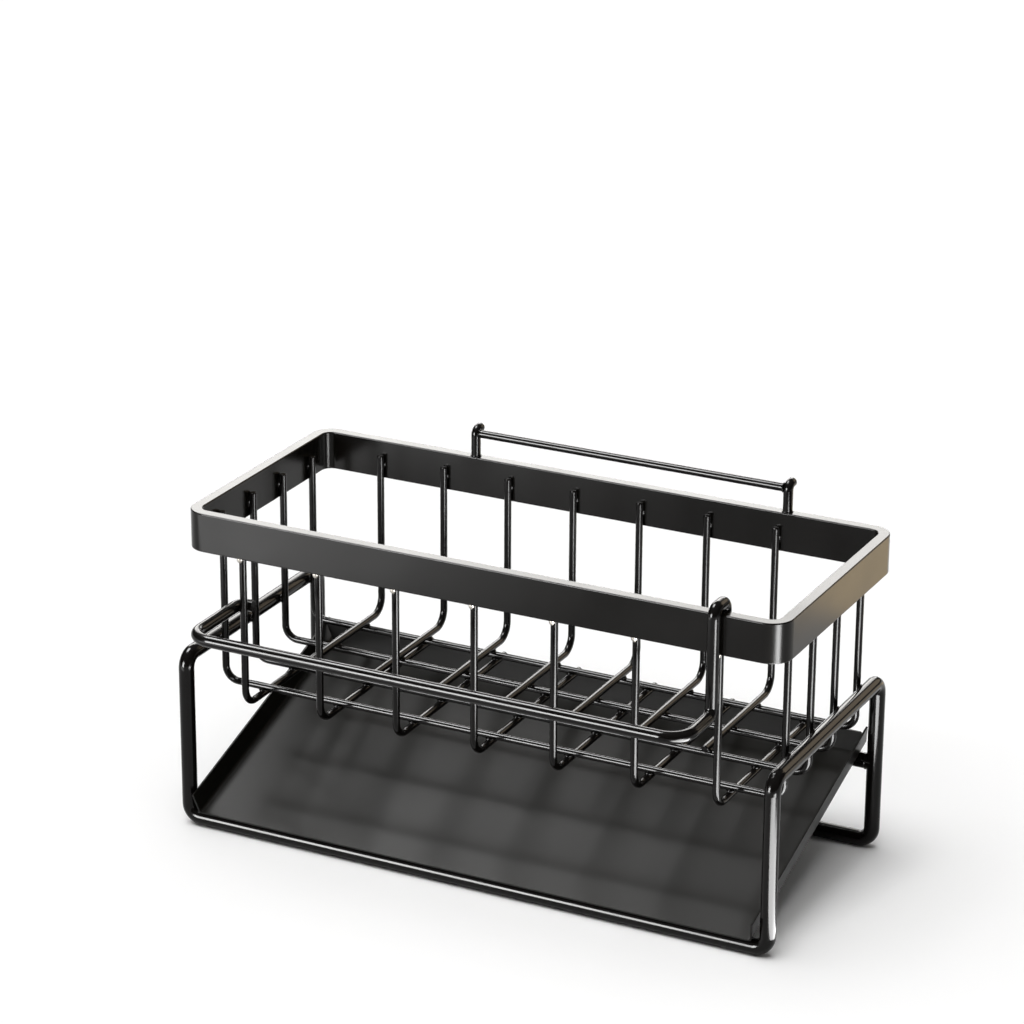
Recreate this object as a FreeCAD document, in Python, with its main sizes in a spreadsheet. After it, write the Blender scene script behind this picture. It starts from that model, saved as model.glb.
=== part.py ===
"""Counter-top sponge holder: a welded wire basket under a flat-bar rail, on a bent-rod base.

Frame: millimetres, +X along the length, +Y to the back, +Z up. The origin is on the counter,
under the middle of the rail.
"""
import FreeCAD
import Part
import Sketcher

import os
import re

DOCUMENT = FreeCAD.newDocument("sponge_holder")

# Lengths closer than this are taken as equal when edges are picked.
SAME = 1e-4

# Driving sizes: alias, value, what it is.
SIZES = [
    ("rail_length", 262.0, "rail, outside, along X"),
    ("rail_depth", 114.0, "rail, outside, along Y"),
    ("rail_height", 16.5, "flat bar's width, standing upright"),
    ("rail_thickness", 4.8, "flat bar's thickness"),
    ("rail_corner", 9.0, "outer radius of the bent corners"),
    ("rail_edge", 0.5, "eased edge of the flat bar"),
    ("basket_floor", 52.0, "underside of the basket above the counter"),
    ("basket_depth", 84.5, "rail's top above the basket's underside"),
    ("wire_diameter", 3.0, "basket wire"),
    ("weld_gap", 0.05, "room for the weld where two pieces meet"),
    ("front_left_inset", 24.0, "first front wire from the rail's left end"),
    ("front_right_inset", 28.5, "last front wire from the rail's right end"),
    ("front_count", 7, "number of front wires"),
    ("front_lap", 5.5, "front wire's overlap on the rail"),
    ("front_bend", 7.0, "bend radius of a front wire"),
    ("front_tail", 8.0, "front wire's free end past the last long wire"),
    ("back_left_inset", 31.6, "first back wire from the rail's left end"),
    ("back_right_inset", 49.2, "last back wire from the rail's right end"),
    ("back_count", 7, "number of back wires"),
    ("back_lap", 10.0, "back wire's overlap on the rail"),
    ("back_bend", 7.0, "bend radius of a back wire"),
    ("back_tail", 3.0, "back wire's free end past the second long wire"),
    ("long_inset", 20.4, "outer long wires from the rail's front and back faces"),
    ("long_count", 4, "number of long wires"),
    ("long_lap", 10.0, "long wire's overlap on the rail"),
    ("long_bend", 6.0, "bend radius of a long wire"),
    ("rod_diameter", 6.4, "base rod"),
    ("rod_bend", 5.5, "bend radius of the base rod"),
    ("side_rod_rise", 22.3, "middle of the side rods above the basket's underside"),
    ("leg_front_out", 2.6, "front legs' middle ahead of the rail's front face"),
    ("leg_back_in", 9.2, "back legs' middle inside the rail's back face"),
    ("rest_drop", 14.0, "middle of the tray's rest rod below the basket's underside"),
    ("tray_sheet", 0.8, "tray's sheet thickness"),
    ("tray_seat_gap", 0.3, "tray's running room on the rods"),
    ("tray_side_gap", 1.0, "room between the tray's walls and the legs"),
    ("tray_fold_gap", 0.3, "tray's fold inside the base rod's bends"),
    ("tray_wall_rise", 9.4, "height of the tray's flared walls above its underside"),
    ("tray_nose", 1.5, "tray's front edge past the middle of the front rod"),
    ("tray_tail", 6.0, "tray's end walls past the middle of the rest rod"),
    ("tray_notch", 1.5, "gap between the tray's curl and its end walls"),
    ("tray_fold", 1.2, "inner radius of the tray's folds"),
    ("curl_wrap", 150.0, "angle that the tray's rear edge wraps round its rest rod, degrees"),
    ("bar_diameter", 5.0, "front cloth bar"),
    ("bar_drop", 40.5, "middle of the cloth bar below the rail's top"),
    ("bar_reach", 29.0, "middle of the cloth bar ahead of the rail's front face"),
    ("bar_bend", 9.0, "bend radius of the cloth bar's corners"),
    ("stem_bend", 4.0, "bend radius between the cloth bar's arm and its hook"),
    ("hook_inset", 27.5, "cloth bar's hook from the rail's right end"),
    ("hook_gap", 0.3, "room between the cloth bar and what it hooks on"),
    ("hook_drop", 8.5, "hook's inner leg below the rail's top"),
    ("eye_tail", 2.0, "cloth bar's eye past the middle of the wire in it"),
    ("post_diameter", 4.0, "hang posts"),
    ("hang_diameter", 3.4, "hang bar"),
    ("hang_left_inset", 75.0, "left hang post from the rail's left end"),
    ("hang_right_inset", 46.0, "right hang post from the rail's right end"),
    ("hang_rise", 11.5, "post's bent-back top above the rail's top"),
    ("hang_bend", 2.5, "bend radius of a post's top"),
    ("hang_tail", 3.9, "post's bent-back end past the rail bar's middle"),
    ("hang_bar_drop", 1.45, "hang bar below the posts' tops"),
]


def write_sheet():
    """Spreadsheet with one named cell for each driving size."""
    cells = DOCUMENT.addObject("Spreadsheet::Sheet", "sizes")
    for row, (alias, number, note) in enumerate(SIZES, start=1):
        cells.set(f"A{row}", note)
        cells.set(f"B{row}", str(number))
        cells.setAlias(f"B{row}", alias)
    DOCUMENT.recompute()
    return cells


SHEET = write_sheet()


def cell(text):
    """An expression's text, with each word that is an alias taken from the sheet."""
    aliases = {alias for alias, _, _ in SIZES}
    return re.sub(r"[a-z_]+", lambda word: f"sizes.{word[0]}" if word[0] in aliases else word[0], text)


def value(text):
    """The number that an expression gives."""
    return float(SHEET.evalExpression(cell(text)))


def count(alias):
    """A number of repeats, read from the sheet."""
    return int(round(value(alias)))


def bind(item, target, text):
    """Binds a property of an object to an expression of the sheet's cells."""
    item.setExpression(target, cell(text))


# Places that several pieces share, worked out from the driving sizes.
RAIL_TOP = "( basket_floor + basket_depth )"
RAIL_BOTTOM = f"( {RAIL_TOP} - rail_height )"
WIRE_INSET = "( rail_thickness + weld_gap + wire_diameter / 2 )"
FRONT_WIRE_Y = f"( {WIRE_INSET} - rail_depth / 2 )"
BACK_WIRE_Y = f"( rail_depth / 2 - {WIRE_INSET} )"
LONG_WIRE_X = f"( rail_length / 2 - {WIRE_INSET} )"
FIRST_FRONT_X = "( front_left_inset - rail_length / 2 )"
FRONT_PITCH = "( ( rail_length - front_left_inset - front_right_inset ) / ( front_count - 1 ) )"
FIRST_BACK_X = "( back_left_inset - rail_length / 2 )"
BACK_PITCH = "( ( rail_length - back_left_inset - back_right_inset ) / ( back_count - 1 ) )"
LAST_LONG_Y = "( rail_depth / 2 - long_inset )"
LONG_PITCH = "( ( rail_depth - 2 * long_inset ) / ( long_count - 1 ) )"
FRONT_Z = "( basket_floor + wire_diameter / 2 )"
LONG_Z = f"( {FRONT_Z} + wire_diameter + weld_gap )"
BACK_Z = f"( {LONG_Z} + wire_diameter + weld_gap )"
LEG_X = f"( {LONG_WIRE_X} + wire_diameter / 2 + weld_gap + rod_diameter / 2 )"
FRONT_LEG_Y = "( 0 - rail_depth / 2 - leg_front_out )"
BACK_LEG_Y = "( rail_depth / 2 - leg_back_in )"
FOOT_Z = "( rod_diameter / 2 )"
SIDE_ROD_Z = "( basket_floor + side_rod_rise )"
LEG_MIDDLE_Z = f"( ( {SIDE_ROD_Z} + {FOOT_Z} ) / 2 )"
REST_Z = "( basket_floor - rest_drop )"
BAR_Z = f"( {RAIL_TOP} - bar_drop )"
HANG_Y = "( rail_depth / 2 - rail_thickness / 2 )"
HANG_LEFT_X = "( hang_left_inset - rail_length / 2 )"
HANG_RIGHT_X = "( rail_length / 2 - hang_right_inset )"

# The tray's places, about the rest rod's axis: up the slope, square to the floor and along the length.
TRAY_RUN = f"( {BACK_LEG_Y} - {FRONT_LEG_Y} )"
TRAY_CLIMB = f"( {REST_Z} - {FOOT_Z} )"
TRAY_LENGTH = f"( tray_tail + sqrt({TRAY_RUN} ^ 2 + {TRAY_CLIMB} ^ 2) + tray_nose )"
TRAY_UNDER = "( rod_diameter / 2 + tray_seat_gap )"
TRAY_FOLD_X = f"( {LEG_X} - rod_bend - tray_fold_gap )"
TRAY_LIP_X = f"( {LEG_X} - rod_diameter / 2 - tray_side_gap )"
TRAY_CUT_X = f"( {TRAY_FOLD_X} - tray_fold - tray_sheet )"


def new_body(label):
    """An empty body named for its piece."""
    body = DOCUMENT.addObject("PartDesign::Body", label)
    body.Label = label
    return body


def new_sketch(body, name, plane, offset=None):
    """A sketch on one of the body's own planes, moved along the plane's normal by an expression."""
    sketch = body.newObject("Sketcher::SketchObject", name)
    support = next(f for f in body.Origin.OriginFeatures if f.Role == plane)
    sketch.AttachmentSupport = (support, [""])
    sketch.MapMode = "FlatFace"
    if offset:
        bind(sketch, "AttachmentOffset.Base.z", offset)
    return sketch


def size(sketch, kind, geometry, text):
    """A sketch dimension that follows an expression: kind and geometry as Sketcher takes them."""
    index = sketch.addConstraint(Sketcher.Constraint(kind, *geometry, value(text)))
    bind(sketch, f"Constraints[{index}]", text)


def draw_circle(sketch, across, up, radius):
    """A circle; a place of None is on that axis."""
    centre = FreeCAD.Vector(value(across) if across else 0.0, value(up) if up else 0.0, 0)
    ring = sketch.addGeometry(Part.Circle(centre, FreeCAD.Vector(0, 0, 1), value(radius)))
    if across:
        size(sketch, "DistanceX", (-1, 1, ring, 3), across)
    else:
        sketch.addConstraint(Sketcher.Constraint("PointOnObject", ring, 3, -2))
    if up:
        size(sketch, "DistanceY", (-1, 1, ring, 3), up)
    else:
        sketch.addConstraint(Sketcher.Constraint("PointOnObject", ring, 3, -1))
    size(sketch, "Radius", (ring,), radius)


def draw_arc(sketch, centre, start, end, clockwise):
    """An arc from start to end, and its point numbers there."""
    first, last = (end, start) if clockwise else (start, end)
    circle = Part.Circle(centre, FreeCAD.Vector(0, 0, 1), (start - centre).Length)
    arc = sketch.addGeometry(Part.ArcOfCircle(circle, circle.parameter(first), circle.parameter(last)))
    return (arc, 2, 1) if clockwise else (arc, 1, 2)


def draw_path(sketch, corners, bends):
    """Straight runs along the sketch's axes through the corners, with a tangent bend at each inner corner."""
    points = [FreeCAD.Vector(value(across), value(up), 0) for across, up in corners]
    ways = [(b - a).normalize() for a, b in zip(points, points[1:])]
    cuts = [0.0] + [value(bend) for bend in bends] + [0.0]
    runs = []
    for k, way in enumerate(ways):
        start = points[k] + way * cuts[k]
        end = points[k + 1] - way * cuts[k + 1]
        runs.append(sketch.addGeometry(Part.LineSegment(start, end)))
        level = abs(way.x) > abs(way.y)
        sketch.addConstraint(Sketcher.Constraint("Horizontal" if level else "Vertical", runs[k]))
        if level:
            size(sketch, "DistanceY", (-1, 1, runs[k], 1), corners[k][1])
        else:
            size(sketch, "DistanceX", (-1, 1, runs[k], 1), corners[k][0])
    for k, bend in enumerate(bends, start=1):
        before, after = ways[k - 1], ways[k]
        start = points[k] - before * cuts[k]
        end = points[k] + after * cuts[k]
        clockwise = before.cross(after).z < 0
        arc, at_start, at_end = draw_arc(sketch, start + after * cuts[k], start, end, clockwise)
        sketch.addConstraint(Sketcher.Constraint("Tangent", runs[k - 1], 2, arc, at_start))
        sketch.addConstraint(Sketcher.Constraint("Tangent", arc, at_end, runs[k], 1))
        size(sketch, "Radius", (arc,), bend)
    for end, point in ((0, 1), (-1, 2)):
        if abs(ways[end].x) > abs(ways[end].y):
            size(sketch, "DistanceX", (-1, 1, runs[end], point), corners[end][0])
        else:
            size(sketch, "DistanceY", (-1, 1, runs[end], point), corners[end][1])


def minus(text):
    """The expression with its sign changed; None, for a place on an axis, stays None."""
    return f"( 0 - {text} )" if text else None


def bent_rod(body, name, plane, offset, corners, bends, radius):
    """A round rod swept along a bent path in a plane, which is moved along its normal by the offset."""
    path = new_sketch(body, name + "_path", plane, offset)
    draw_path(path, corners, bends)
    (across, up), (next_across, _) = corners[0], corners[1]
    level = value(across) != value(next_across)
    # The profile's plane, that plane's offset and the circle's place in it, square to the path's first run.
    stands = {
        ("YZ_Plane", False): ("XY_Plane", up, offset, across),
        ("YZ_Plane", True): ("XZ_Plane", minus(across), offset, up),
        ("XZ_Plane", False): ("XY_Plane", up, across, minus(offset)),
        ("XY_Plane", False): ("XZ_Plane", minus(up), across, offset),
    }
    profile_plane, profile_offset, circle_across, circle_up = stands[(plane, level)]
    profile = new_sketch(body, name + "_profile", profile_plane, profile_offset)
    draw_circle(profile, circle_across, circle_up, radius)
    DOCUMENT.recompute()
    pipe = body.newObject("PartDesign::AdditivePipe", name)
    pipe.Profile = profile
    pipe.Spine = (path, [f"Edge{k + 1}" for k in range(len(path.Shape.Edges))])
    DOCUMENT.recompute()


def cut_both_ways(body, name, sketch, length):
    """A pocket to both sides of its sketch, which has to take some of the body away."""
    DOCUMENT.recompute()
    before = body.Shape.Volume
    cut = body.newObject("PartDesign::Pocket", name)
    cut.Profile = sketch
    cut.SideType = "Symmetric"
    bind(cut, "Length", length)
    DOCUMENT.recompute()
    if body.Shape.Volume >= before:
        raise RuntimeError(f"{name} cuts nothing away")


def draw_rounded_rectangle(sketch, length, depth, radius):
    """A rectangle about the origin with equal rounded corners."""
    half_x, half_y, turn = value(length) / 2, value(depth) / 2, value(radius)
    signs = ((1, 1), (-1, 1), (-1, -1), (1, -1))
    corners = [FreeCAD.Vector(x * half_x, y * half_y, 0) for x, y in signs]
    lines, arcs = [], []
    for k, corner in enumerate(corners):
        following = corners[(k + 1) % 4]
        way = (following - corner).normalize()
        lines.append(sketch.addGeometry(Part.LineSegment(corner + way * turn, following - way * turn)))
        sketch.addConstraint(Sketcher.Constraint("Horizontal" if k % 2 == 0 else "Vertical", lines[k]))
    for k in range(4):
        corner = corners[(k + 1) % 4]
        before = (corner - corners[k]).normalize()
        after = (corners[(k + 2) % 4] - corner).normalize()
        start = corner - before * turn
        arc, at_start, at_end = draw_arc(sketch, start + after * turn, start, corner + after * turn, False)
        sketch.addConstraint(Sketcher.Constraint("Tangent", lines[k], 2, arc, at_start))
        sketch.addConstraint(Sketcher.Constraint("Tangent", arc, at_end, lines[(k + 1) % 4], 1))
        arcs.append(arc)
    for arc in arcs[1:]:
        sketch.addConstraint(Sketcher.Constraint("Equal", arcs[0], arc))
    size(sketch, "Radius", (arcs[0],), radius)
    sketch.addConstraint(Sketcher.Constraint("Symmetric", arcs[0], 3, arcs[2], 3, -1, 1))
    size(sketch, "DistanceX", (lines[1], 1, lines[3], 1), length)
    size(sketch, "DistanceY", (lines[2], 1, lines[0], 1), depth)


def make_top_rail():
    """Flat bar bent on edge into a hoop with rounded corners and eased edges."""
    body = new_body("top_rail")
    outline = new_sketch(body, "rail_outline", "XY_Plane", RAIL_BOTTOM)
    draw_rounded_rectangle(outline, "rail_length", "rail_depth", "rail_corner")
    draw_rounded_rectangle(outline, "rail_length - 2 * rail_thickness", "rail_depth - 2 * rail_thickness",
                           "rail_corner - rail_thickness")
    DOCUMENT.recompute()
    hoop = body.newObject("PartDesign::Pad", "rail_hoop")
    hoop.Profile = outline
    bind(hoop, "Length", "rail_height")
    DOCUMENT.recompute()
    rims = [f"Edge{k}" for k, edge in enumerate(hoop.Shape.Edges, start=1) if edge.BoundBox.ZLength < SAME]
    eased = body.newObject("PartDesign::Fillet", "rail_edges")
    eased.Base = (hoop, rims)
    bind(eased, "Radius", "rail_edge")
    return body


def make_front_wires():
    """Wires from the front rail down, round and back under the long wires."""
    wires = []
    for k in range(count("front_count")):
        body = new_body(f"front_wire_{k + 1}")
        corners = [
            (FRONT_WIRE_Y, f"{RAIL_BOTTOM} + front_lap"),
            (FRONT_WIRE_Y, FRONT_Z),
            (f"{LAST_LONG_Y} + front_tail", FRONT_Z),
        ]
        bent_rod(body, body.Label + "_rod", "YZ_Plane", None, corners, ["front_bend"], "wire_diameter / 2")
        bind(body, "Placement.Base.x", f"{FIRST_FRONT_X} + {k} * {FRONT_PITCH}")
        wires.append(body)
    return wires


def make_back_wires():
    """Wires from the back rail down, round and forward over the long wires, as far as the second of them."""
    wires = []
    for k in range(count("back_count")):
        body = new_body(f"back_wire_{k + 1}")
        corners = [
            (BACK_WIRE_Y, f"{RAIL_BOTTOM} + back_lap"),
            (BACK_WIRE_Y, BACK_Z),
            (f"{LONG_PITCH} - {LAST_LONG_Y} - back_tail", BACK_Z),
        ]
        bent_rod(body, body.Label + "_rod", "YZ_Plane", None, corners, ["back_bend"], "wire_diameter / 2")
        bind(body, "Placement.Base.x", f"{FIRST_BACK_X} + {k} * {BACK_PITCH}")
        wires.append(body)
    return wires


def make_long_wires():
    """Wires from the left rail down, along the basket on the front wires, and up to the right rail."""
    wires = []
    for k in range(count("long_count")):
        body = new_body(f"long_wire_{k + 1}")
        corners = [
            (f"0 - {LONG_WIRE_X}", f"{RAIL_BOTTOM} + long_lap"),
            (f"0 - {LONG_WIRE_X}", LONG_Z),
            (LONG_WIRE_X, LONG_Z),
            (LONG_WIRE_X, f"{RAIL_BOTTOM} + long_lap"),
        ]
        bent_rod(body, body.Label + "_rod", "XZ_Plane", None, corners, ["long_bend"] * 2, "wire_diameter / 2")
        bind(body, "Placement.Base.y", f"{k} * {LONG_PITCH} - {LAST_LONG_Y}")
        wires.append(body)
    return wires


def make_base_frame():
    """One closed loop of rod: two floor rods, four legs and two side rods that carry the basket."""
    body = new_body("base_frame")
    foot = [
        (f"0 - {LEG_X}", LEG_MIDDLE_Z),
        (f"0 - {LEG_X}", FOOT_Z),
        (LEG_X, FOOT_Z),
        (LEG_X, LEG_MIDDLE_Z),
    ]
    side = [
        (FRONT_LEG_Y, LEG_MIDDLE_Z),
        (FRONT_LEG_Y, SIDE_ROD_Z),
        (BACK_LEG_Y, SIDE_ROD_Z),
        (BACK_LEG_Y, LEG_MIDDLE_Z),
    ]
    # In the order round the loop, so that each length grows from the one before.
    lengths = [
        ("front_foot", "XZ_Plane", minus(FRONT_LEG_Y), foot),
        ("left_side", "YZ_Plane", minus(LEG_X), side),
        ("back_foot", "XZ_Plane", minus(BACK_LEG_Y), foot),
        ("right_side", "YZ_Plane", LEG_X, side),
    ]
    for name, plane, offset, corners in lengths:
        bent_rod(body, name, plane, offset, corners, ["rod_bend"] * 2, "rod_diameter / 2")
    return body


def make_rest_rod():
    """Rod between the back legs, its ends notched to sit against them, that carries the tray's rear edge."""
    body = new_body("tray_rest_rod")
    section = new_sketch(body, "rest_section", "YZ_Plane")
    draw_circle(section, BACK_LEG_Y, REST_Z, "rod_diameter / 2")
    DOCUMENT.recompute()
    rod = body.newObject("PartDesign::Pad", "rest_bar")
    rod.Profile = section
    rod.SideType = "Symmetric"
    bind(rod, "Length", f"2 * {LEG_X}")
    DOCUMENT.recompute()
    notches = new_sketch(body, "rest_notches", "XY_Plane", REST_Z)
    for place in (f"0 - {LEG_X}", LEG_X):
        draw_circle(notches, place, BACK_LEG_Y, "rod_diameter / 2 + weld_gap")
    cut_both_ways(body, "rest_ends", notches, "2 * rod_diameter")
    return body


def make_cloth_bar():
    """Lift-off bar ahead of the basket: an eye round the first front wire and a hook over the rail."""
    body = new_body("cloth_bar")
    radius = "( bar_diameter / 2 )"
    reach = f"( hook_gap + {radius} )"
    rail_front = "( 0 - rail_depth / 2 )"
    front = f"( {rail_front} - bar_reach )"
    stem = f"( {rail_front} - {reach} )"
    inner = f"( {rail_front} + rail_thickness + {reach} )"
    crown = f"( {RAIL_TOP} + {reach} )"
    arm_middle = f"( ( {stem} + {front} ) / 2 )"
    right = "( rail_length / 2 - hook_inset )"
    # The eye and the hook bend about the wire's middle and the rail's eased edges.
    eye_bend = f"( wire_diameter / 2 + {reach} )"
    hook_bend = f"( rail_edge + {reach} )"
    left = f"( {FIRST_FRONT_X} - {eye_bend} )"
    eye_back = f"( {FRONT_WIRE_Y} + {eye_bend} )"
    bow = [
        (right, arm_middle),
        (right, front),
        (left, front),
        (left, eye_back),
        (f"{FIRST_FRONT_X} + eye_tail", eye_back),
    ]
    bent_rod(body, "bar_bow", "XY_Plane", BAR_Z, bow, ["bar_bend", "bar_bend", eye_bend], radius)
    hook = [
        (arm_middle, BAR_Z),
        (stem, BAR_Z),
        (stem, crown),
        (inner, crown),
        (inner, f"{RAIL_TOP} - hook_drop"),
    ]
    bent_rod(body, "bar_hook", "YZ_Plane", right, hook, ["stem_bend", hook_bend, hook_bend], radius)
    return body


def make_hang_posts():
    """Two short posts that stand on the back rail, bent back at the top."""
    posts = []
    for name, place in (("left", HANG_LEFT_X), ("right", HANG_RIGHT_X)):
        body = new_body(f"hang_post_{name}")
        corners = [
            (HANG_Y, RAIL_TOP),
            (HANG_Y, f"{RAIL_TOP} + hang_rise"),
            (f"{HANG_Y} + hang_tail", f"{RAIL_TOP} + hang_rise"),
        ]
        bent_rod(body, body.Label + "_rod", "YZ_Plane", None, corners, ["hang_bend"], "post_diameter / 2")
        bind(body, "Placement.Base.x", place)
        posts.append(body)
    return posts


def make_hang_bar():
    """Straight wire between the two posts."""
    body = new_body("hang_bar")
    section = new_sketch(body, "hang_section", "YZ_Plane")
    draw_circle(section, HANG_Y, f"{RAIL_TOP} + hang_rise - hang_bar_drop", "hang_diameter / 2")
    DOCUMENT.recompute()
    bar = body.newObject("PartDesign::Pad", "hang_rod")
    bar.Profile = section
    bar.SideType = "Symmetric"
    bind(bar, "Length", f"{HANG_RIGHT_X} - {HANG_LEFT_X} - post_diameter - 2 * weld_gap")
    bind(body, "Placement.Base.x", f"( {HANG_LEFT_X} + {HANG_RIGHT_X} ) / 2")
    return body


def draw_channel(sketch):
    """The tray's section: a flat floor between two walls that lean outwards, all one sheet thick."""
    low, sheet = value(TRAY_UNDER), value("tray_sheet")
    fold = FreeCAD.Vector(value(TRAY_FOLD_X), low, 0)
    lip = FreeCAD.Vector(value(TRAY_LIP_X), low + value("tray_wall_rise"), 0)
    lean = (lip - fold).normalize()
    lip_in = lip + FreeCAD.Vector(-lean.y, lean.x, 0) * sheet
    fold_in = FreeCAD.Vector(fold.x - sheet * (1 - lean.x) / lean.y, low + sheet, 0)
    right = [fold, lip, lip_in, fold_in]
    left = [FreeCAD.Vector(-point.x, point.y, 0) for point in reversed(right)]
    outline = right + left
    sides = []
    for start, end in zip(outline, outline[1:] + outline[:1]):
        sides.append(sketch.addGeometry(Part.LineSegment(start, end)))
    for k, side in enumerate(sides):
        sketch.addConstraint(Sketcher.Constraint("Coincident", side, 2, sides[(k + 1) % len(sides)], 1))
    for k in range(len(right)):
        sketch.addConstraint(Sketcher.Constraint("Symmetric", sides[k], 1, sides[-1 - k], 1, -2))
    wall, lip_edge, wall_in = sides[:3]
    sketch.addConstraint(Sketcher.Constraint("Parallel", wall, wall_in))
    sketch.addConstraint(Sketcher.Constraint("Perpendicular", wall, lip_edge))
    size(sketch, "DistanceY", (-1, 1, wall, 1), TRAY_UNDER)
    size(sketch, "DistanceX", (-1, 1, wall, 1), TRAY_FOLD_X)
    size(sketch, "DistanceX", (-1, 1, wall, 2), TRAY_LIP_X)
    size(sketch, "DistanceY", (wall, 1, wall, 2), "tray_wall_rise")
    size(sketch, "Distance", (lip_edge, 1, lip_edge, 2), "tray_sheet")
    size(sketch, "DistanceY", (wall, 1, wall_in, 2), "tray_sheet")


def draw_strip(sketch, half, low, height):
    """A rectangle about the sketch's upright axis; a low side of None is on the level axis."""
    reach, bottom = value(half), value(low) if low else 0.0
    top = bottom + value(height)
    places = ((-reach, bottom), (reach, bottom), (reach, top), (-reach, top))
    outline = [FreeCAD.Vector(across, up, 0) for across, up in places]
    sides = []
    for start, end in zip(outline, outline[1:] + outline[:1]):
        sides.append(sketch.addGeometry(Part.LineSegment(start, end)))
    for k, side in enumerate(sides):
        sketch.addConstraint(Sketcher.Constraint("Coincident", side, 2, sides[(k + 1) % 4], 1))
    for side, way in zip(sides[1:], ("Vertical", "Horizontal", "Vertical")):
        sketch.addConstraint(Sketcher.Constraint(way, side))
    sketch.addConstraint(Sketcher.Constraint("Symmetric", sides[0], 1, sides[0], 2, -2))
    size(sketch, "DistanceX", (-1, 1, sides[0], 2), half)
    if low:
        size(sketch, "DistanceY", (-1, 1, sides[0], 2), low)
    else:
        sketch.addConstraint(Sketcher.Constraint("PointOnObject", sides[0], 2, -1))
    size(sketch, "DistanceY", (sides[1], 1, sides[1], 2), height)


def fold_edges(shape, height):
    """Names of the long edges where floor and walls meet, at one height of the tray's section."""
    names = []
    for k, edge in enumerate(shape.Edges, start=1):
        box = edge.BoundBox
        if abs(box.YLength - value(TRAY_LENGTH)) < SAME and abs(box.ZMax - height) < SAME:
            names.append(f"Edge{k}")
    return names


def make_drip_tray():
    """Folded sheet channel that slopes to the front, its floor's rear edge curled round the rest rod.

    Modelled about the rest rod's axis, with Y up the slope, then turned to the slope of the two rods.
    """
    body = new_body("drip_tray")
    channel = new_sketch(body, "tray_section", "XZ_Plane", minus("tray_tail"))
    draw_channel(channel)
    DOCUMENT.recompute()
    sheet = body.newObject("PartDesign::Pad", "tray_channel")
    sheet.Profile = channel
    bind(sheet, "Length", TRAY_LENGTH)
    DOCUMENT.recompute()
    outer = body.newObject("PartDesign::Fillet", "tray_outer_folds")
    outer.Base = (sheet, fold_edges(sheet.Shape, value(TRAY_UNDER)))
    bind(outer, "Radius", "tray_fold + tray_sheet")
    DOCUMENT.recompute()
    inner = body.newObject("PartDesign::Fillet", "tray_inner_folds")
    inner.Base = (outer, fold_edges(outer.Shape, value(TRAY_UNDER) + value("tray_sheet")))
    bind(inner, "Radius", "tray_fold")
    DOCUMENT.recompute()
    behind = new_sketch(body, "tray_floor_end", "XY_Plane")
    draw_strip(behind, TRAY_CUT_X, None, "tray_tail")
    cut_both_ways(body, "tray_floor_cut", behind, f"4 * {TRAY_UNDER}")
    strip = new_sketch(body, "tray_rear_edge", "XZ_Plane")
    draw_strip(strip, f"{TRAY_CUT_X} - tray_notch", TRAY_UNDER, "tray_sheet")
    DOCUMENT.recompute()
    curl = body.newObject("PartDesign::Revolution", "tray_curl")
    curl.Profile = strip
    curl.ReferenceAxis = (strip, ["H_Axis"])
    curl.Reversed = True
    bind(curl, "Angle", "curl_wrap")
    # The slope turns about X, an axis that is kept only with an angle other than zero.
    slope = value(f"atan({TRAY_CLIMB} / {TRAY_RUN})")
    body.Placement = FreeCAD.Placement(FreeCAD.Vector(), FreeCAD.Rotation(FreeCAD.Vector(1, 0, 0), slope))
    bind(body, "Placement.Rotation.Angle", f"atan({TRAY_CLIMB} / {TRAY_RUN})")
    bind(body, "Placement.Base.y", BACK_LEG_Y)
    bind(body, "Placement.Base.z", REST_Z)
    return body


def check(pieces):
    """Stops the build if any object failed or any piece isn't one valid solid."""
    for item in DOCUMENT.Objects:
        if "Invalid" in item.State or "Error" in item.State:
            raise RuntimeError(f"{item.Label} failed to build: {item.State}")
    for piece in pieces:
        shape = piece.Shape
        if shape.isNull() or not shape.isValid() or len(shape.Solids) != 1:
            raise RuntimeError(f"{piece.Label} is not one valid solid")


def main():
    """Builds every piece, checks them all and writes one file for each."""
    pieces = [make_top_rail(), make_base_frame(), make_rest_rod(), make_drip_tray(), make_cloth_bar()]
    pieces += [make_hang_bar(), *make_hang_posts()]
    pieces += [*make_front_wires(), *make_back_wires(), *make_long_wires()]
    DOCUMENT.recompute()
    check(pieces)
    os.makedirs("parts", exist_ok=True)
    for piece in pieces:
        piece.Shape.exportStep(f"parts/{piece.Label}.step")


main()
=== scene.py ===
"""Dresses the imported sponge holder: lacquers, welds, wire rims, the tray's rear wall and a studio.

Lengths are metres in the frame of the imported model: +X along the length, +Y to the back, +Z up.
"""

import math
import random

import bmesh
import bpy
from mathutils import Matrix, Vector


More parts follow.
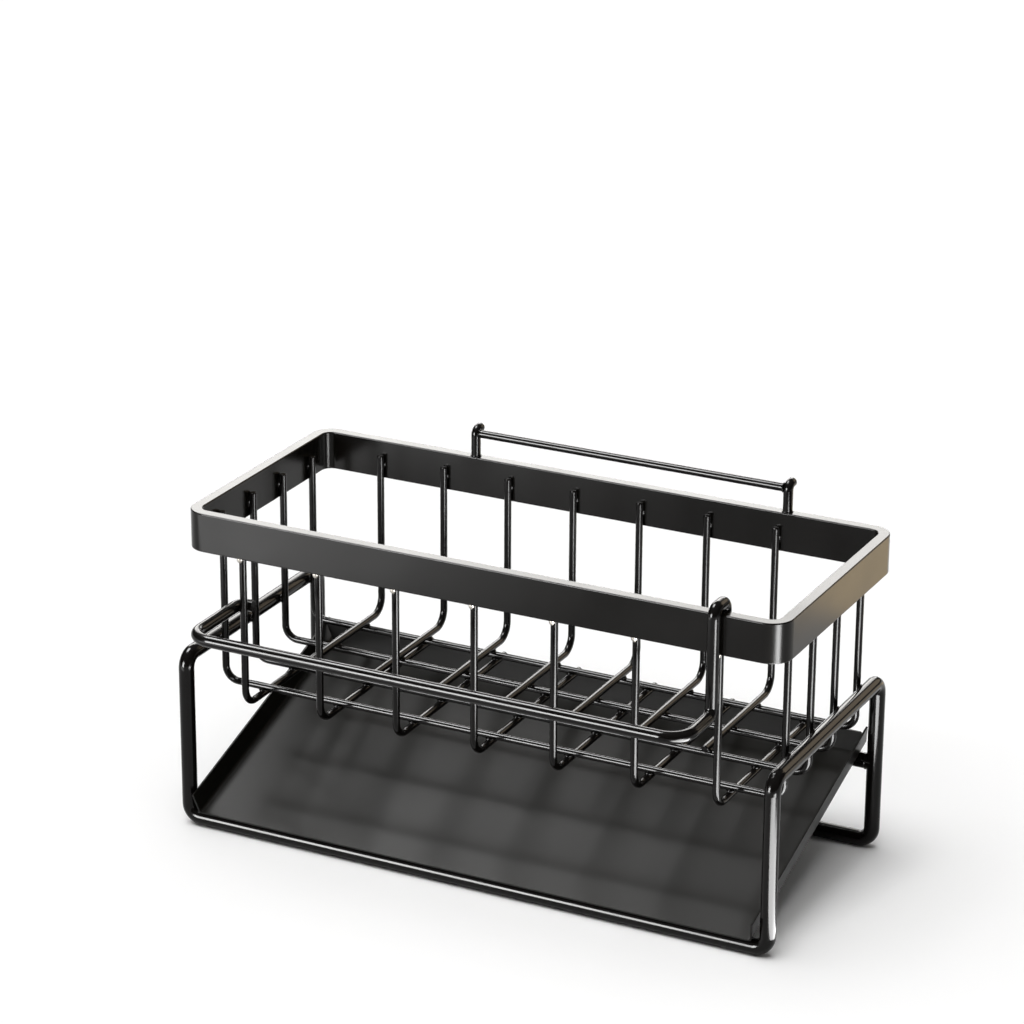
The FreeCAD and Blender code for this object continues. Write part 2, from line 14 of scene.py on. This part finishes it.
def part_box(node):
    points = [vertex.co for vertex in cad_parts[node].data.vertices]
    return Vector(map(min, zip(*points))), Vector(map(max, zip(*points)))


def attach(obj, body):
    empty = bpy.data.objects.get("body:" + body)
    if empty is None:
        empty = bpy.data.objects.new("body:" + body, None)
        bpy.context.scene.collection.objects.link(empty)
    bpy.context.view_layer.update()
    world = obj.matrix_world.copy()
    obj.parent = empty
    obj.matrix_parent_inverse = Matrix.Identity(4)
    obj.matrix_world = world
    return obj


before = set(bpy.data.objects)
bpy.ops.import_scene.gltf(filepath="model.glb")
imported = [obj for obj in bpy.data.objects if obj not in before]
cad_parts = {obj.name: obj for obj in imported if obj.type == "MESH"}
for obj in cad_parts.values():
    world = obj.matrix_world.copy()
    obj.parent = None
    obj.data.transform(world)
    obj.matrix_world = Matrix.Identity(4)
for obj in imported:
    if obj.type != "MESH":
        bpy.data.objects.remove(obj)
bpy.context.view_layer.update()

bl_info = {
    "name": "Wire sponge holder",
    "version": (1, 0, 0),
    "blender": (4, 5, 0),
    "location": "View3D > Sidebar > Holder",
    "description": "Lacquers, welds, wire ends, tray wall and studio for a black wire sponge holder",
    "category": "Object",
}

MM = 0.001
FRONT_WIRES = sorted(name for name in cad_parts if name.startswith("front_wire_"))
BACK_WIRES = sorted(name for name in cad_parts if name.startswith("back_wire_"))
LONG_WIRES = sorted(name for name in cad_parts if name.startswith("long_wire_"))
HANG_POSTS = ["hang_post_left", "hang_post_right"]

# Soft boxes: name, place, width and height, brightness against a white floor, colour.
SOFT_BOXES = [
    ("overhead_box", (-0.66, 0.06, 1.45), (0.6, 0.6), 42.0, "#ffffff"),
    ("front_box", (-0.65, -1.40, 0.33), (0.6, 0.6), 55.0, "#ffffff"),
    ("rear_box", (-0.75, 1.45, 0.78), (1.6, 0.7), 8.6, "#fffdfa"),
    ("warm_box", (0.67, 1.33, 0.65), (0.7, 0.7), 2.4, "#ffeacd"),
]
# Cards that lie on the floor beside the holder: name, place, width and depth, brightness, colour.
FLOOR_CARDS = [
    ("leg_card", (0.1975, -0.12), (0.105, 0.16), 40.0, "#ffffff"),
    ("wire_card", (0.305, -0.185), (0.11, 0.13), 36.0, "#ffffff"),
    ("corner_card", (0.43, -0.25), (0.14, 0.16), 55.0, "#ffffff"),
    ("left_card_bright", (-0.42, -0.38), (0.36, 0.22), 6.0, "#ffffff"),
    ("left_card_middle", (-0.21, -0.38), (0.06, 0.22), 4.0, "#ffffff"),
    ("left_card_dim", (-0.15, -0.38), (0.06, 0.22), 1.4, "#ffffff"),
    ("back_card", (0.36, 0.40), (0.34, 0.26), 1.4, "#ffd379"),
    ("rear_card", (-0.35, 0.66), (0.8, 0.4), 3.0, "#ffffff"),
]
# The point that the soft boxes face, and how far the cards lie above the floor.
LIGHT_AIM = Vector((0.0, 0.0, 0.08))
CARD_RISE = 0.5 * MM
# The ceiling is a broad sun that no gloss mirrors: its strength, spread and tilt.
CEILING_GLOW = 2.95
CEILING_SPREAD = math.radians(60)
CEILING_TILT = (math.radians(12), math.radians(-10), 0.0)
# The studio's walls: a warm white in linear numbers, their dim and light strength, and the heights, from 0 at
# the horizon to 1 overhead, between which one fades into the other.
WALL_WHITE = (1.0, 0.985, 0.965, 1.0)
WALL_DIM, WALL_LIGHT = 0.06, 0.3
FADE_LOW, FADE_HIGH = 0.25, 1.0
# The floor lies a little under the rods, so that no faces meet.
FLOOR_DROP = 0.2 * MM
FLOOR_ROUGHNESS = 0.9
# The camera's sensor in millimetres, and how far it sees in metres.
SENSOR_WIDTH = 36.0
VIEW_REACH = 100.0

# Lacquers are near 1.5; matched down, because so pale a floor would otherwise grey the black.
LACQUER_IOR = 1.25
# Most of a noise lies between these values, and a lacquer's colour drifts by this share with it.
CLOUD_LOW, CLOUD_HIGH = 0.3, 0.7
TONE_DRIFT = 0.25
# The skin of the pale weld beads, whose silver is a painted glint: the size of its patches in millimetres,
# its shade, its least and most roughness.
SKIN_MM = 0.5
SKIN_SHADE = 0.55
SKIN_SMOOTH, SKIN_ROUGH = 0.28, 0.5

# Shares of a weld bead's half width: flat between crossing wires, thin against a rail, tall along a wire's
# end, and proud of a front wire.
BEAD_FLAT, BEAD_THIN, BEAD_TALL, BEAD_PROUD = 0.45, 0.5, 1.6, 0.4
# How much the skin of a bead and of a ring weld rises and falls, as shares of their size, and its seed.
BEAD_LUMP, RING_LUMP = 0.07, 0.12
LUMP_SEED = 7
# Where welds sit: under a wire's upper end, above the rail's top, and in rod radii from the rest rod's end.
UNDER_WIRE_TOP = 4.0 * MM
OVER_RAIL = 0.2 * MM
REST_WELD_IN = 0.9


def to_linear(text):
    """An sRGB hex colour as the linear numbers that Blender works in."""
    channels = [int(text[k:k + 2], 16) / 255 for k in (1, 3, 5)]
    return tuple(c / 12.92 if c <= 0.04045 else ((c + 0.055) / 1.055) ** 2.4 for c in channels)


def colour(name, description, text):
    """A colour that the user can change."""
    return bpy.props.FloatVectorProperty(name=name, description=description, default=to_linear(text),
                                         subtype="COLOR", size=3, min=0.0, max=1.0)


def length(name, description, millimetres):
    """A length that the user can change."""
    return bpy.props.FloatProperty(name=name, description=description, default=millimetres * MM,
                                   subtype="DISTANCE", unit="LENGTH", min=0.0)


def angle(name, description, degrees):
    """An angle that the user can change."""
    return bpy.props.FloatProperty(name=name, description=description, default=math.radians(degrees),
                                   subtype="ANGLE")


def number(name, description, default, top=1.0):
    """A plain number that the user can change."""
    return bpy.props.FloatProperty(name=name, description=description, default=default, min=0.0, max=top)


class HolderFinish(bpy.types.PropertyGroup):
    """Colours and gloss of the lacquers."""
    wire_black: colour("Wire black", "Gloss lacquer on the wires, rods and bars", "#0d0b0a")
    wire_roughness: number("Wire roughness", "Mean roughness of the gloss lacquer", 0.16)
    rail_black: colour("Rail black", "Satin lacquer on the flat bar", "#0e0c09")
    rail_roughness: number("Rail roughness", "Mean roughness of the satin lacquer", 0.2)
    tray_black: colour("Tray black", "Semi-gloss lacquer on the tray", "#12110e")
    tray_roughness: number("Tray roughness", "Mean roughness of the semi-gloss lacquer", 0.3)
    # Pale steel of the rail welds: its silver is a painted glint under the rail.
    glint_weld_grey: colour("Weld grey", "Pale steel of the rail welds, a painted glint", "#c9c4bc")


class HolderSizes(bpy.types.PropertyGroup):
    """Sizes of the small shapes that the scene adds."""
    rim: length("End rim", "Radius of the rounded rim of a cut wire", 0.4)
    floor_bead: length("Floor weld", "Half width of a weld where two floor wires cross", 1.9)
    rail_bead: length("Rail weld", "Half width of a weld under the rail", 1.35)
    ring_bead: length("Ring weld", "Thickness of a weld bead round a rod's end", 0.7)
    tray_sheet: length("Tray sheet", "Thickness of the tray's sheet", 0.8)
    tray_seat: length("Tray seat", "Tray's running room on its rest rod", 0.3)
    wall_rise: length("Rear wall", "Height of the tray's rear wall above its floor", 8.9)
    wall_corner: length("Rear wall corner", "Radius of the rear wall's upper corners", 1.0)
    wall_gap: length("Rear wall gap", "Rear wall's upper corners from the tray's end walls", 0.4)
    wall_edge: length("Rear wall edge", "Eased edge of the rear wall", 0.2)


class HolderStudio(bpy.types.PropertyGroup):
    """Camera, floor and light."""
    lens: number("Lens", "Focal length for a 36 mm sensor, in millimetres", 130.115, 500.0)
    azimuth: angle("Azimuth", "Camera's turn to the right of straight ahead", 26.758)
    elevation: angle("Elevation", "Camera's height above the horizon", 20.954)
    roll: angle("Roll", "Camera's turn about its own line of sight", 0.324)
    distance: length("Distance", "Camera from the point it looks at", 1481.8)
    target: bpy.props.FloatVectorProperty(
        name="Target", description="Point that the camera looks at", default=(-0.0115, 0.0, 0.1377),
        subtype="TRANSLATION", unit="LENGTH")
    floor: colour("Floor", "Pale floor", "#f7f7f7")
    floor_radius: length("Floor radius", "Half width of the floor", 9000.0)


def add_node(tree, kind, inputs=None, **settings):
    """A node with its settings; each input is a value or another node's output."""
    node = tree.nodes.new(kind)
    for name, setting in settings.items():
        setattr(node, name, setting)
    for name, given in (inputs or {}).items():
        if isinstance(given, bpy.types.NodeSocket):
            tree.links.new(given, node.inputs[name])
        else:
            node.inputs[name].default_value = given
    return node


def per_metre(millimetres):
    """A noise scale that gives features of about this size."""
    return 1.0 / (millimetres * MM)


def new_material(name):
    """An empty node material and its tree."""
    material = bpy.data.materials.new(name)
    material.use_nodes = True
    material.node_tree.nodes.clear()
    return material, material.node_tree


def lacquer(name, black, roughness, peel_mm, peel_depth_mm, drift_mm, drift):
    """Stoved lacquer on steel: a faint orange peel, and gloss and depth that drift over the surface."""
    material, tree = new_material(name)
    place = add_node(tree, "ShaderNodeTexCoord").outputs["Object"]
    peel = add_node(tree, "ShaderNodeTexNoise", {
        "Vector": place, "Scale": per_metre(peel_mm), "Detail": 2.0})
    bump = add_node(tree, "ShaderNodeBump", {
        "Height": peel.outputs["Fac"], "Strength": 1.0, "Distance": peel_depth_mm * MM})
    cloud = add_node(tree, "ShaderNodeTexNoise", {
        "Vector": place, "Scale": per_metre(drift_mm), "Detail": 4.0})
    gloss = add_node(tree, "ShaderNodeMapRange", {
        "Value": cloud.outputs["Fac"], "From Min": CLOUD_LOW, "From Max": CLOUD_HIGH,
        "To Min": roughness - drift, "To Max": roughness + drift})
    tone = add_node(tree, "ShaderNodeMix", {
        "Factor": cloud.outputs["Fac"], "A": (*((1.0 - TONE_DRIFT) * c for c in black), 1.0),
        "B": (*((1.0 + TONE_DRIFT) * c for c in black), 1.0)}, data_type="RGBA")
    shader = add_node(tree, "ShaderNodeBsdfPrincipled", {
        "Base Color": tone.outputs["Result"], "Roughness": gloss.outputs["Result"], "IOR": LACQUER_IOR,
        "Normal": bump.outputs["Normal"]})
    add_node(tree, "ShaderNodeOutputMaterial", {"Surface": shader.outputs["BSDF"]})
    return material


def wire_lacquer():
    """Gloss black lacquer, dipped and stoved on drawn steel wire."""
    finish = bpy.context.scene.holder_finish
    # Near black, with thin bright lines along each wire; the peel breaks the lines up a little.
    return lacquer("gloss black lacquer on drawn steel", finish.wire_black, finish.wire_roughness,
                   peel_mm=1.6, peel_depth_mm=0.004, drift_mm=18.0, drift=0.04)


def rail_lacquer():
    """Satin black lacquer, sprayed on rolled steel flat bar."""
    finish = bpy.context.scene.holder_finish
    # Broad soft reflections: grey where the bar faces the floor, pale on its top, dark inside.
    return lacquer("satin black lacquer on flat bar", finish.rail_black, finish.rail_roughness,
                   peel_mm=2.2, peel_depth_mm=0.003, drift_mm=40.0, drift=0.05)


def tray_lacquer():
    """Semi-gloss black lacquer, sprayed on pressed steel sheet."""
    finish = bpy.context.scene.holder_finish
    # An even charcoal, with blurred reflections of the wires above and a slight grain.
    return lacquer("semi-gloss black lacquer on steel sheet", finish.tray_black, finish.tray_roughness,
                   peel_mm=1.2, peel_depth_mm=0.002, drift_mm=45.0, drift=0.015)


def glint_weld_steel():
    """Pale steel for the weld beads under the rail, silver against the black lacquer: a painted glint at the
    top of each front wire.
    """
    finish = bpy.context.scene.holder_finish
    material, tree = new_material("pale glint weld steel")
    place = add_node(tree, "ShaderNodeTexCoord").outputs["Object"]
    # Silver beads with a darker skin of oxide in patches of about half a millimetre.
    skin = add_node(tree, "ShaderNodeTexNoise", {"Vector": place, "Scale": per_metre(SKIN_MM), "Detail": 3.0})
    tone = add_node(tree, "ShaderNodeMix", {
        "Factor": skin.outputs["Fac"], "A": (*(SKIN_SHADE * c for c in finish.glint_weld_grey), 1.0),
        "B": (*finish.glint_weld_grey, 1.0)}, data_type="RGBA")
    gloss = add_node(tree, "ShaderNodeMapRange", {
        "Value": skin.outputs["Fac"], "To Min": SKIN_SMOOTH, "To Max": SKIN_ROUGH})
    shader = add_node(tree, "ShaderNodeBsdfPrincipled", {
        "Base Color": tone.outputs["Result"], "Metallic": 1.0, "Roughness": gloss.outputs["Result"]})
    add_node(tree, "ShaderNodeOutputMaterial", {"Surface": shader.outputs["BSDF"]})
    return material


# Materials that are made already, by their maker's name.
MADE = {}


def material_for(maker):
    """The material that a maker gives, made once and then shared."""
    if maker.__name__ not in MADE:
        MADE[maker.__name__] = maker()
    return MADE[maker.__name__]


def dress(names, maker):
    """Gives CAD nodes a material."""
    for name in names:
        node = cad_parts[name]
        node.data.materials.clear()
        node.data.materials.append(material_for(maker))


def add_piece(name, mesh_maker, maker, body, smooth=True):
    """A new piece from a function that fills a bmesh, riding on a body, with smooth or flat shading."""
    form = bmesh.new()
    mesh_maker(form)
    bmesh.ops.recalc_face_normals(form, faces=form.faces)
    mesh = bpy.data.meshes.new(name)
    form.to_mesh(mesh)
    form.free()
    if smooth:
        mesh.shade_smooth()
    piece = bpy.data.objects.new(name, mesh)
    bpy.context.scene.collection.objects.link(piece)
    mesh.materials.append(material_for(maker))
    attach(piece, body)


def add_bead(form, centre, halves, draw):
    """A lumpy weld bead about a point, with its half sizes along the axes."""
    made = bmesh.ops.create_icosphere(form, subdivisions=2, radius=1.0)
    for vert in made["verts"]:
        lump = 1.0 + draw.uniform(-BEAD_LUMP, BEAD_LUMP)
        vert.co = centre + Vector(c * h * lump for c, h in zip(vert.co, halves))


def add_ring(form, centre, axis, radius, thickness, draw):
    """A weld bead round a rod, where its end meets another piece."""
    sides, around = 8, 28
    turn = Vector(axis).to_track_quat("Z", "Y").to_matrix()
    rings = []
    for k in range(around):
        way = Vector((math.cos(2 * math.pi * k / around), math.sin(2 * math.pi * k / around), 0.0))
        half = 0.5 * thickness * (1.0 + draw.uniform(-RING_LUMP, RING_LUMP))
        ring = []
        for j in range(sides):
            swing = 2 * math.pi * j / sides
            local = way * (radius + half * math.cos(swing)) + Vector((0.0, 0.0, half * math.sin(swing)))
            ring.append(form.verts.new(centre + turn @ local))
        rings.append(ring)
    for k in range(around):
        here, there = rings[k], rings[(k + 1) % around]
        for j in range(sides):
            form.faces.new((here[j], here[(j + 1) % sides], there[(j + 1) % sides], there[j]))


def add_end(form, centre, axis, radius, rim):
    """The flat end of a cut wire with its rim rounded off, closed underneath."""
    around, steps = 24, 4
    turn = Vector(axis).to_track_quat("Z", "Y").to_matrix()
    rings = []
    for s in range(steps + 1):
        swing = 0.5 * math.pi * s / steps
        reach = radius - rim + rim * math.cos(swing)
        ring = []
        for k in range(around):
            way = 2 * math.pi * k / around
            local = Vector((math.cos(way) * reach, math.sin(way) * reach, math.sin(swing) * rim))
            ring.append(form.verts.new(centre + turn @ local))
        rings.append(ring)
    form.faces.new(rings[0])
    form.faces.new(rings[-1])
    for low, high in zip(rings, rings[1:]):
        for k in range(around):
            form.faces.new((low[k], low[(k + 1) % around], high[(k + 1) % around], high[k]))


def rod_radius():
    """The base rod's radius, read from the rest rod's box."""
    low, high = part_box("tray_rest_rod")
    return 0.5 * (high.z - low.z)


def rest_line():
    """A point on the rest rod's middle line, at the holder's middle."""
    low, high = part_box("tray_rest_rod")
    return Vector((0.0, 0.5 * (low.y + high.y), 0.5 * (low.z + high.z)))


def add_sheet(form, foot, head, low, high, corner, front, sheet, edge):
    """An upright sheet with round upper corners and eased edges: foot and head are its half widths."""
    steps = 6
    outline = [(-foot, low), (foot, low)]
    for side, start in ((1, 0.0), (-1, 0.5 * math.pi)):
        for k in range(steps + 1):
            swing = start + 0.5 * math.pi * k / steps
            outline.append((side * (head - corner) + corner * math.cos(swing),
                            high - corner + corner * math.sin(swing)))
    face = form.faces.new([form.verts.new((x, front, z)) for x, z in outline])
    swept = bmesh.ops.extrude_face_region(form, geom=[face])["geom"]
    for vert in (item for item in swept if isinstance(item, bmesh.types.BMVert)):
        vert.co.y += sheet
    rims = [item for item in form.edges if abs(item.verts[0].co.y - item.verts[1].co.y) < 0.5 * sheet]
    bmesh.ops.bevel(form, geom=rims, offset=edge, segments=2, affect="EDGES", profile=0.5)


class Wire:
    """Where a basket wire's runs and ends are, read from its CAD box."""

    def __init__(self, name):
        low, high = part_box(name)
        self.low, self.high, self.top = low, high, high.z
        along_x = high.x - low.x > high.y - low.y
        self.radius = 0.5 * ((high.y - low.y) if along_x else (high.x - low.x))
        self.x, self.y = 0.5 * (low.x + high.x), 0.5 * (low.y + high.y)
        self.floor = low.z + self.radius


class HOLDER_OT_rail(bpy.types.Operator):
    """Satin lacquer on the flat-bar rail"""
    bl_idname = "holder.rail"
    bl_label = "Rail"

    def execute(self, context):
        dress(["top_rail"], rail_lacquer)
        return {"FINISHED"}


class HOLDER_OT_basket(bpy.types.Operator):
    """Gloss lacquer on the basket's front, back and long wires"""
    bl_idname = "holder.basket"
    bl_label = "Basket wires"

    def execute(self, context):
        dress(FRONT_WIRES + BACK_WIRES + LONG_WIRES, wire_lacquer)
        return {"FINISHED"}


class HOLDER_OT_base(bpy.types.Operator):
    """Gloss lacquer on the bent-rod base and the tray's rest rod"""
    bl_idname = "holder.base"
    bl_label = "Base"

    def execute(self, context):
        dress(["base_frame", "tray_rest_rod"], wire_lacquer)
        return {"FINISHED"}


class HOLDER_OT_tray(bpy.types.Operator):
    """Semi-gloss lacquer on the pressed drip tray, and the wall at its rear edge"""
    bl_idname = "holder.tray"
    bl_label = "Drip tray"

    def execute(self, context):
        dress(["drip_tray"], tray_lacquer)
        sizes = context.scene.holder_sizes
        # The floor lies over the front rod and the rest rod, so the line through their middles is its slope.
        rest, rod, front = rest_line(), rod_radius(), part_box("base_frame")[0]
        slope = math.atan2(rest.z - rod - front.z, rest.y - rod - front.y)
        over = rod + sizes.tray_seat + sizes.tray_sheet
        floor = rest + Vector((0.0, -math.sin(slope), math.cos(slope))) * over
        # Half widths of the wall: its foot is as wide as the curl, its head fits between the end walls.
        points = [vert.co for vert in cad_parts["drip_tray"].data.vertices]
        curl = max(point.x for point in points if point.y > rest.y and point.z < rest.z)
        between = max(point.x for point in points) - sizes.tray_sheet - sizes.wall_gap

        def rear_wall(form):
            add_sheet(form, curl, between, floor.z - sizes.tray_sheet, floor.z + sizes.wall_rise,
                      sizes.wall_corner, floor.y - 0.5 * sizes.tray_sheet, sizes.tray_sheet, sizes.wall_edge)

        add_piece("tray_rear_wall", rear_wall, tray_lacquer, "tray", smooth=False)
        return {"FINISHED"}


class HOLDER_OT_bars(bpy.types.Operator):
    """Gloss lacquer on the cloth bar, the hang bar and its posts"""
    bl_idname = "holder.bars"
    bl_label = "Cloth bar and hang bar"

    def execute(self, context):
        dress(["cloth_bar", "hang_bar"] + HANG_POSTS, wire_lacquer)
        return {"FINISHED"}


class HOLDER_OT_welds(bpy.types.Operator):
    """Weld beads where wires, rods and rail meet"""
    bl_idname = "holder.welds"
    bl_label = "Welds"

    def execute(self, context):
        sizes = context.scene.holder_sizes
        rail_low, rail_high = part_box("top_rail")
        front = [Wire(name) for name in FRONT_WIRES]
        back = [Wire(name) for name in BACK_WIRES]
        long = [Wire(name) for name in LONG_WIRES]
        draw = random.Random(LUMP_SEED)

        def floor_beads(form):
            wide = sizes.floor_bead
            halves = (wide, wide, BEAD_FLAT * wide)
            for along in long:
                for across in front:
                    add_bead(form, Vector((across.x, along.y, along.low.z)), halves, draw)
                for across in back:
                    if across.low.y < along.y:
                        add_bead(form, Vector((across.x, along.y, across.low.z)), halves, draw)

        def rail_beads(form):
            wide = sizes.rail_bead
            for wire in front:
                place = Vector((wire.x, wire.low.y - BEAD_PROUD * wide, rail_low.z - wide))
                add_bead(form, place, (wide, wide, BEAD_TALL * wide), draw)

        def frame_beads(form):
            wide, rod, middle = sizes.floor_bead, rod_radius(), rest_line()
            flat, thin, tall = BEAD_FLAT * wide, BEAD_THIN * wide, BEAD_TALL * wide
            side_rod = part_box("base_frame")[1].z - rod
            for wire in back:
                place = Vector((wire.x, wire.high.y, wire.top - UNDER_WIRE_TOP))
                add_bead(form, place, (wide, thin, tall), draw)
            for wire in long:
                for side in (wire.low.x, wire.high.x):
                    place = Vector((side, wire.y, wire.top - UNDER_WIRE_TOP))
                    add_bead(form, place, (thin, wide, tall), draw)
                    add_bead(form, Vector((side, wire.y, side_rod)), (flat, wide, wide), draw)
            for side in (corner.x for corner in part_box("tray_rest_rod")):
                inner = side - math.copysign(REST_WELD_IN * rod, side)
                add_ring(form, Vector((inner, middle.y, middle.z)), (1, 0, 0), rod, sizes.ring_bead, draw)
            bar_low, bar_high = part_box("hang_bar")
            radius = 0.5 * (bar_high.z - bar_low.z)
            for end in (bar_low.x, bar_high.x):
                place = Vector((end, 0.5 * (bar_low.y + bar_high.y), 0.5 * (bar_low.z + bar_high.z)))
                add_ring(form, place, (1, 0, 0), radius, sizes.ring_bead, draw)
            for name in HANG_POSTS:
                low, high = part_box(name)
                radius = 0.5 * (high.x - low.x)
                foot = Vector((0.5 * (low.x + high.x), low.y + radius, rail_high.z + OVER_RAIL))
                add_ring(form, foot, (0, 0, 1), radius, sizes.ring_bead, draw)

        add_piece("floor_welds", floor_beads, wire_lacquer, "rack")
        # The rail welds in pale steel: a painted glint at each front wire's top.
        add_piece("rail_glint_welds", rail_beads, glint_weld_steel, "rack")
        add_piece("frame_welds", frame_beads, wire_lacquer, "rack")
        return {"FINISHED"}


class HOLDER_OT_wire_ends(bpy.types.Operator):
    """Ends with a rounded rim on the cut wires"""
    bl_idname = "holder.wire_ends"
    bl_label = "Wire ends"

    def execute(self, context):
        rim = context.scene.holder_sizes.rim

        def ends(form):
            for wire in map(Wire, FRONT_WIRES):
                upper = Vector((wire.x, wire.low.y + wire.radius, wire.top))
                add_end(form, upper, (0, 0, 1), wire.radius, rim)
                add_end(form, Vector((wire.x, wire.high.y, wire.floor)), (0, 1, 0), wire.radius, rim)
            for wire in map(Wire, BACK_WIRES):
                upper = Vector((wire.x, wire.high.y - wire.radius, wire.top))
                add_end(form, upper, (0, 0, 1), wire.radius, rim)
                add_end(form, Vector((wire.x, wire.low.y, wire.floor)), (0, -1, 0), wire.radius, rim)
            for wire in map(Wire, LONG_WIRES):
                for side in (wire.low.x + wire.radius, wire.high.x - wire.radius):
                    add_end(form, Vector((side, wire.y, wire.top)), (0, 0, 1), wire.radius, rim)

        add_piece("wire_ends", ends, wire_lacquer, "rack")
        return {"FINISHED"}


class HOLDER_OT_studio(bpy.types.Operator):
    """Pale floor, soft light and the camera"""
    bl_idname = "holder.studio"
    bl_label = "Studio"

    def execute(self, context):
        scene = context.scene
        studio = scene.holder_studio
        scene.view_settings.view_transform = "Standard"
        self.add_floor(studio)
        self.add_world(scene)
        self.add_lights()
        self.add_camera(scene, studio)
        return {"FINISHED"}

    def add_floor(self, studio):
        """A wide flat disc under the holder."""
        form = bmesh.new()
        bmesh.ops.create_circle(form, cap_ends=True, segments=96, radius=studio.floor_radius)
        mesh = bpy.data.meshes.new("floor")
        form.to_mesh(mesh)
        form.free()
        floor = bpy.data.objects.new("floor", mesh)
        floor.location.z = -FLOOR_DROP
        bpy.context.scene.collection.objects.link(floor)
        material, tree = new_material("pale studio floor")
        shader = add_node(tree, "ShaderNodeBsdfPrincipled", {
            "Base Color": (*studio.floor, 1.0), "Roughness": FLOOR_ROUGHNESS, "Specular IOR Level": 0.0})
        add_node(tree, "ShaderNodeOutputMaterial", {"Surface": shader.outputs["BSDF"]})
        mesh.materials.append(material)

    def add_world(self, scene):
        """Studio walls that are dim near the floor and lighter overhead."""
        world = bpy.data.worlds.new("studio")
        world.use_nodes = True
        tree = world.node_tree
        tree.nodes.clear()
        way = add_node(tree, "ShaderNodeTexCoord").outputs["Generated"]
        split = add_node(tree, "ShaderNodeSeparateXYZ", {"Vector": way})
        fade = add_node(tree, "ShaderNodeMapRange", {
            "Value": split.outputs["Z"], "From Min": FADE_LOW, "From Max": FADE_HIGH,
            "To Min": WALL_DIM, "To Max": WALL_LIGHT}, interpolation_type="SMOOTHSTEP")
        light = add_node(tree, "ShaderNodeBackground", {
            "Color": WALL_WHITE, "Strength": fade.outputs["Result"]})
        add_node(tree, "ShaderNodeOutputWorld", {"Surface": light.outputs["Background"]})
        scene.world = world

    def add_lights(self):
        """Soft boxes and floor cards that the gloss mirrors as lines, and a broad ceiling for the floor."""
        for name, place, size, glow, tint in SOFT_BOXES:
            lamp = self.add_panel(name, size, glow, tint)
            lamp.location = place
            lamp.rotation_euler = (LIGHT_AIM - lamp.location).to_track_quat("-Z", "Y").to_euler()
        for name, (x, y), size, glow, tint in FLOOR_CARDS:
            lamp = self.add_panel(name, size, glow, tint)
            lamp.location = (x, y, CARD_RISE)
            # Turned over, because a flat lamp shines downwards.
            lamp.rotation_euler.x = math.pi
        sun = bpy.data.lights.new("ceiling", "SUN")
        sun.energy, sun.angle = CEILING_GLOW, CEILING_SPREAD
        item = bpy.data.objects.new("ceiling", sun)
        item.rotation_euler = CEILING_TILT
        item.visible_glossy = False
        bpy.context.scene.collection.objects.link(item)

    def add_panel(self, name, size, glow, tint):
        """A flat lamp of one brightness that shows only as a reflection."""
        lamp = bpy.data.lights.new(name, "AREA")
        lamp.shape, lamp.size, lamp.size_y = "RECTANGLE", *size
        lamp.energy, lamp.color = math.pi * glow * size[0] * size[1], to_linear(tint)
        item = bpy.data.objects.new(name, lamp)
        item.visible_camera, item.visible_diffuse = False, False
        bpy.context.scene.collection.objects.link(item)
        return item

    def add_camera(self, scene, studio):
        """The photograph's view, from turn, height and roll about a target."""
        az, el, roll = studio.azimuth, studio.elevation, studio.roll
        back = Vector((math.sin(az) * math.cos(el), -math.cos(az) * math.cos(el), math.sin(el)))
        right = Vector((math.cos(az), math.sin(az), 0.0))
        up = back.cross(right)
        across = math.cos(roll) * right + math.sin(roll) * up
        rise = math.cos(roll) * up - math.sin(roll) * right
        lens = bpy.data.cameras.new("camera")
        lens.lens, lens.sensor_width, lens.clip_end = studio.lens, SENSOR_WIDTH, VIEW_REACH
        camera = bpy.data.objects.new("camera", lens)
        place = Vector(studio.target) + back * studio.distance
        camera.matrix_world = Matrix.Translation(place) @ Matrix((across, rise, back)).transposed().to_4x4()
        scene.collection.objects.link(camera)
        scene.camera = camera


OPERATORS = [HOLDER_OT_rail, HOLDER_OT_basket, HOLDER_OT_base, HOLDER_OT_tray, HOLDER_OT_bars,
             HOLDER_OT_welds, HOLDER_OT_wire_ends, HOLDER_OT_studio]


class HOLDER_PT_panel(bpy.types.Panel):
    """Buttons for each group of pieces, and their settings"""
    bl_idname = "HOLDER_PT_panel"
    bl_label = "Sponge holder"
    bl_space_type = "VIEW_3D"
    bl_region_type = "UI"
    bl_category = "Holder"

    def draw(self, context):
        for operator in OPERATORS:
            self.layout.operator(operator.bl_idname)
        for group in (context.scene.holder_finish, context.scene.holder_sizes, context.scene.holder_studio):
            for name in group.__annotations__:
                self.layout.prop(group, name)


SETTINGS = {"holder_finish": HolderFinish, "holder_sizes": HolderSizes, "holder_studio": HolderStudio}
CLASSES = [*SETTINGS.values(), *OPERATORS, HOLDER_PT_panel]


def register():
    """Registers the classes and hangs their settings on the scene."""
    for item in CLASSES:
        bpy.utils.register_class(item)
    for name, group in SETTINGS.items():
        setattr(bpy.types.Scene, name, bpy.props.PointerProperty(type=group))


def unregister():
    """Takes the settings and the classes away again."""
    for name in SETTINGS:
        delattr(bpy.types.Scene, name)
    for item in reversed(CLASSES):
        bpy.utils.unregister_class(item)


def main():
    """Builds the scene."""
    register()
    for operator in OPERATORS:
        group, name = operator.bl_idname.split(".")
        getattr(getattr(bpy.ops, group), name)()
    bpy.context.view_layer.update()


if __name__ == "__main__":
    main()
